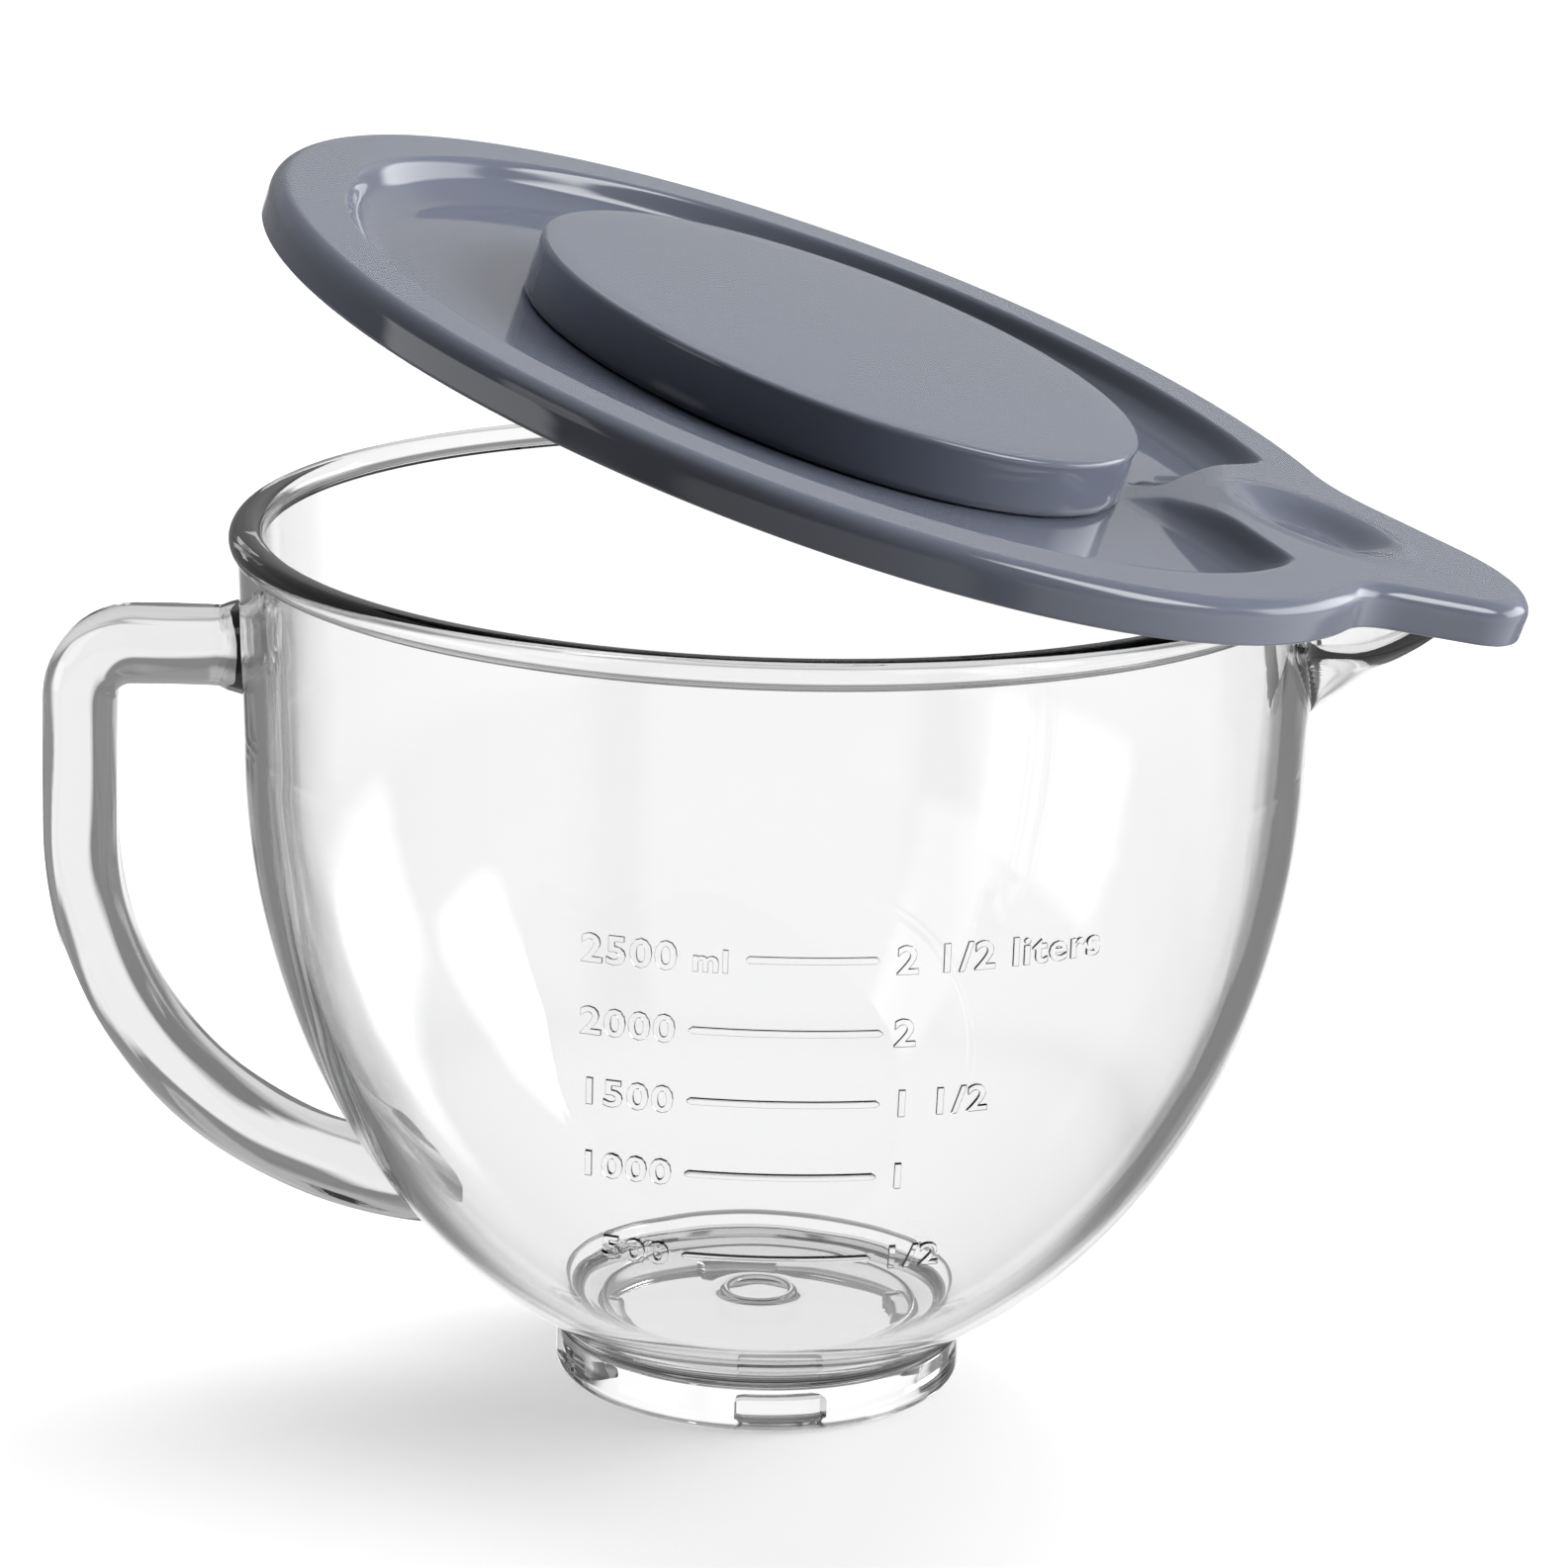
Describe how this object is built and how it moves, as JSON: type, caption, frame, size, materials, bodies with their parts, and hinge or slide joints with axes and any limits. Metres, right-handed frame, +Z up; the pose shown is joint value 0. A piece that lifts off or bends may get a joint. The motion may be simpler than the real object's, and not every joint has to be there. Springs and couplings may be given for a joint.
{
  "type": "mixing bowl",
  "caption": "Clear glass mixing bowl with a fused bar handle, pouring spout, hollow foot ring and raised volume scale, under a loose plastic lid with a disc knob that rocks open on the rim.",
  "frame": {"origin": "centre of the foot ring, on the surface the bowl stands on", "axes": "+Z up, +X from the bowl's axis towards the pouring spout, the handle towards -X"},
  "size_m": [0.3103, 0.2421, 0.2584],
  "materials": {
    "clear_glass": "clear, smooth, fire-polished",
    "lid_plastic": "glossy moulded, blue-grey"
  },
  "bodies": {
    "bowl": {"glass_bowl": "clear_glass", "glass_foot": "clear_glass", "foot_lugs": "clear_glass", "glass_handle": "clear_glass", "handle_collar": "clear_glass", "volume_lines": "clear_glass"},
    "lid": {"lid_shell": "lid_plastic", "lid_cap": "lid_plastic", "cap_clips": "lid_plastic"}
  },
  "joints": [
    {"name": "lid_tilt", "type": "hinge", "parent": "bowl", "child": "lid", "pos_m": [0.1134, 0, 0.173], "axis": [0.1392, 0.9903, 0], "range_deg": [-18, 0]}
  ]
}
